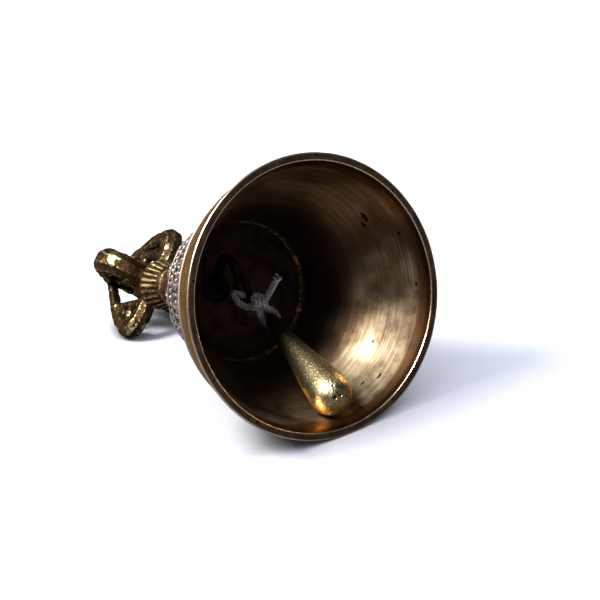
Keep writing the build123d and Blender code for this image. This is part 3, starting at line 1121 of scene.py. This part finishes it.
def knot_turns(centre, size, stretch):
    """A three lobed knot that faces the mouth, drawn out along the line to the clapper."""
    along = np.array((PIVOT[0] - EYE[0], 0, PIVOT[2] - EYE[2]))
    along /= np.linalg.norm(along)
    facing = np.array((-0.2, 0.46, -0.87))
    facing -= (facing @ along) * along
    facing /= np.linalg.norm(facing)
    across = np.cross(facing, along)
    t = np.linspace(0.4, 0.4 + TAU * 0.97, 26)[:, None]
    lobes = (
        stretch * (np.sin(t) + 2 * np.sin(2 * t)) * along
        + (np.cos(t) - 2 * np.cos(2 * t)) * across
        - 1.15 * np.sin(3 * t) * facing
    )
    return np.array(centre) + size * lobes


TAIL = [(4.4, 1.0, 33.0), (3.0, -0.5, 31.6), (0.8, -1.6, 29.2), (-1.8, -2.3, 26.2), (-4.0, -2.8, 23.9)]
PX, _, PZ = PIVOT
TURN = [
    *((4.4, 1.0, 32.2), (6.2, 1.5, 30.9), (7.6, 1.7, 29.3), (PX + 0.3, 1.2, PZ), (PX, 0.0, PZ)),
    *((PX - 0.2, -1.5, PZ), (7.2, -1.9, 28.4), (5.6, -1.2, 29.4), (3.6, 0.2, 31.0), (1.9, 1.2, 32.6)),
]

loop = cord("cord_loop_strand", LOOP_STRAND)
knot = cord("cord_knot_turns", knot_turns((3.0, 0.4, 32.7), 0.62, 1.2), 1.0)
tail = cord("cord_tail", TAIL, 2.0, fray=1.6)
turn_in_clapper = cord("cord_clapper_turn", TURN, 0.5)
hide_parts("cord_loop")
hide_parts("cord_knot")
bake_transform(loop)
for piece in (knot, tail, turn_in_clapper):
    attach(piece, "cord_bottom")

# === Clapper

# Drawn along its own length, in mm, from the top end to the striking end.
CLAPPER_R = 5.9
CLAPPER_END = 36.8
CAP_START = CLAPPER_END - CLAPPER_R
CLAPPER_LINE = [(1.7, 0.0), (2.1, 2.0), (2.5, 7.0), (3.7, 16.0), (5.2, 25.0), (CLAPPER_R, CAP_START)]
CLAPPER_AROUND = 260
PIVOT_DROP = 2.0
LEAN = math.radians(40.25)
# Casting pits near the end: angle in degrees, distance along, radius and depth in mm.
CLAPPER_PITS = (
    (154, 35.1, 0.55, 0.7),
    (178, 35.3, 0.40, 0.5),
    (-152, 35.6, 0.30, 0.35),
    (168, 32.6, 0.22, 0.2),
)


def from_angle(A, degrees):
    """1 where the angle is the given one, falling to -1 on the far side."""
    return np.cos(A - math.radians(degrees))


def clapper():
    """Pebbled drop: rough on one side and at the end, with pits and orange gold on one side and at the end.
    """
    turn = np.linspace(0, math.pi / 2, 50)[1:]
    cap = np.stack([CLAPPER_R * np.cos(turn), CAP_START + CLAPPER_R * np.sin(turn)], -1)
    top = [(0.01, 0.0), (0.9, 0.02), (1.4, 0.12)]
    line = np.concatenate([top, spline(CLAPPER_LINE, 150)[1:], cap])
    line[-1, 0] = 0.01
    A, R, L = turned(line, CLAPPER_AROUND)
    P = round_points(A, R, -L)
    grain = 1 - smooth(0.1, 0.75, cells(P, 0.55, 61)[0])
    rough_side = 0.35 + 0.9 * smooth(0.1, 0.9, from_angle(A, 190)) + 0.25 * noise(P, 5.0, 62)
    rough_side = rough_side + 0.8 * smooth(34.2, 35.6, L)
    lift = -0.10 + 0.075 * (grain - 0.5) * rough_side + 0.07 * fbm(P, 2.6, 63)
    pit = np.zeros(A.shape)
    for degrees, at, size, depth in CLAPPER_PITS:
        a = math.radians(degrees)
        out_by = math.sqrt(CLAPPER_R**2 - (at - CAP_START) ** 2)
        dist = np.linalg.norm(P - (out_by * math.cos(a), out_by * math.sin(a), -at), axis=-1)
        pit = highest(pit, smooth(size * 1.25, size * 0.7, dist))
        lift = lift - depth * smooth(size * 1.2, size * 0.3, dist)
    lift = lift * smooth(0, 1.2, L) * smooth(0.0, 0.6, R)
    side_orange = smooth(0.935, 0.985, from_angle(A, 74) + 0.10 * fbm(P, 1.3, 67))
    side_orange = side_orange * smooth(17, 27, L) * smooth(35.8, 34.6, L)
    end_orange = smooth(36.05, 36.4, L + 0.5 * fbm(P, 0.8, 66)) * smooth(0.2, 0.7, from_angle(A, 140))
    rubbed = smooth(27.0, 33.0, L + 1.5 * fbm(P, 2.0, 68))
    P += lift[..., None] * outward(A, np.gradient(line, axis=0)) * (1, 1, -1) + (0, 0, PIVOT_DROP)
    c, s = math.cos(LEAN), math.sin(LEAN)
    x, y, z = P[..., 0], P[..., 1], P[..., 2]
    Q = PIVOT * (1, 0, 1) + np.stack([x * c - z * s, y, x * s + z * c], -1)
    o = build("clapper_drop", Q.reshape(-1, 3), grid_faces(*A.shape), [CLAPPER])
    warm = 0.85 * highest(side_orange, end_orange)
    point_values(o.data, high=grain, edge=rubbed, shade=0.9 * smooth(19.0, 5.0, L), pit=pit, warm=warm)
    return o


take_over(clapper(), "clapper", "striker")

# === Floor, light and camera

# Half the floor's side and the reach of its contact shadow, in metres, and the shadow's slant.
FLOOR_HALF = 2.0
SHADOW_REACH = 0.012
SHADOW_LEAN = (0.66, 0.24, 0.71)


def floor_material():
    """Plain white sweep. The metal's reflections see it much darker than the camera does.
    It darkens where the object stands over it, and glows a little far out to stay even."""
    n = paint("paper")
    p = n.add("ShaderNodeTexCoord").outputs["Object"]
    white = n.mix(n.ramp(n.noise(40.0, 3.0, vector=p), 0.4, 0.6), (0.88, 0.88, 0.89), (0.90, 0.90, 0.90))
    lean = n.add("ShaderNodeCombineXYZ", SHADOW_LEAN).outputs["Vector"]
    near = n.add("ShaderNodeAmbientOcclusion", samples=8, Distance=SHADOW_REACH, Normal=lean).outputs["AO"]
    n.colour = n.mix(n.ramp(near, 0.15, 0.75), (0.07, 0.07, 0.08), white)
    n.tint(n.add("ShaderNodeLightPath").outputs["Is Glossy Ray"], (0.30, 0.29, 0.28))
    n.finish(0.9, 0.0)
    n.put(n.shader, "Specular IOR Level", 0.0)
    reach = n.add("ShaderNodeVectorMath", (p,), operation="LENGTH").outputs["Value"]
    n.put(n.shader, "Emission Color", (1, 1, 1))
    n.put(n.shader, "Emission Strength", n.ramp(reach, 0.14, 0.5, 0.0, 0.22))
    return n.owner


def floor():
    corners = [(x * FLOOR_HALF, y * FLOOR_HALF, 0) for x, y in ((-1, -1), (1, -1), (1, 1), (-1, 1))]
    mesh = bpy.data.meshes.new("floor")
    mesh.from_pydata(corners, [], [(0, 1, 2, 3)])
    mesh.materials.append(floor_material())
    return new_object("floor", mesh)


floor()

LIGHT_DISTANCE = 0.75
LIGHT_AIM = Vector((0, 0, 0.03))


def towards(azimuth, elevation):
    """Direction from the object to a viewer or light. Azimuth 0 is the -Y side, and 90 is +X."""
    a, e = math.radians(azimuth), math.radians(elevation)
    return Vector((math.sin(a) * math.cos(e), -math.cos(a) * math.cos(e), math.sin(e)))


def area_light(name, azimuth, elevation, side, power):
    """A square light that faces the object."""
    back = towards(azimuth, elevation)
    data = bpy.data.lights.new(name, "AREA")
    data.size, data.energy = side, power
    o = new_object(name, data)
    o.location = LIGHT_AIM + back * LIGHT_DISTANCE
    o.rotation_mode = "QUATERNION"
    o.rotation_quaternion = (-back).to_track_quat("-Z", "Y")
    return o


# The softbox is split in two, so that its shadow stays soft while its reflection stays bright.
area_light("softbox_reflection", 20, 56, 0.24, 25.0).visible_diffuse = False
area_light("side_reflection", -32, 40, 0.20, 2.6).visible_diffuse = False
area_light("front_reflection", 66, 43, 0.10, 0.75).visible_diffuse = False
area_light("softbox_shadow", -22, 50, 0.26, 5.2).visible_glossy = False

CAMERA_WORLD = (1.05, 1.05, 1.06)
FLOOR_WORLD = (0.93, 0.97, 1.11)
METAL_WORLD = (0.050, 0.052, 0.056)


def studio_world():
    """White behind the object, soft bluish fill on the floor, a dark room in the reflections."""
    world = bpy.data.worlds.new("studio")
    world.cycles.sampling_method = "NONE"
    n = Nodes(world, "Background")
    rays = n.add("ShaderNodeLightPath").outputs
    room = n.mix(rays["Is Diffuse Ray"], METAL_WORLD, FLOOR_WORLD)
    n.put(n.shader, "Color", n.mix(rays["Is Camera Ray"], room, CAMERA_WORLD))
    bpy.context.scene.world = world


studio_world()

# The photo's viewing angle, in degrees, and the camera's place in metres.
CAMERA_AZIMUTH = 60.26
CAMERA_ELEVATION = 21.85
CAMERA_ROLL = -8.0
CAMERA_DISTANCE = 0.5179
CAMERA_LENS = 120
AIM_SIDE = 0.00443
AIM_UP = -0.00074


def photo_camera():
    """Camera that looks at the mouth from the photo's side, tilted by its roll."""
    back = towards(CAMERA_AZIMUTH, CAMERA_ELEVATION)
    level = Vector((-back.y, back.x, 0)).normalized()
    roll = Matrix.Rotation(math.radians(CAMERA_ROLL), 3, back)
    right, up = roll @ level, roll @ back.cross(level)
    place = Vector(mouth_centre) - right * AIM_SIDE + up * AIM_UP + back * CAMERA_DISTANCE
    data = bpy.data.cameras.new("camera")
    data.lens = CAMERA_LENS
    data.sensor_width = 36
    data.clip_start, data.clip_end = 0.01, 20
    camera = new_object("camera", data)
    camera.matrix_world = Matrix.Translation(place) @ Matrix((right, up, back)).transposed().to_4x4()
    return camera


scene = bpy.context.scene
scene.camera = photo_camera()
scene.view_settings.view_transform = "Standard"
scene.view_settings.gamma = 0.82
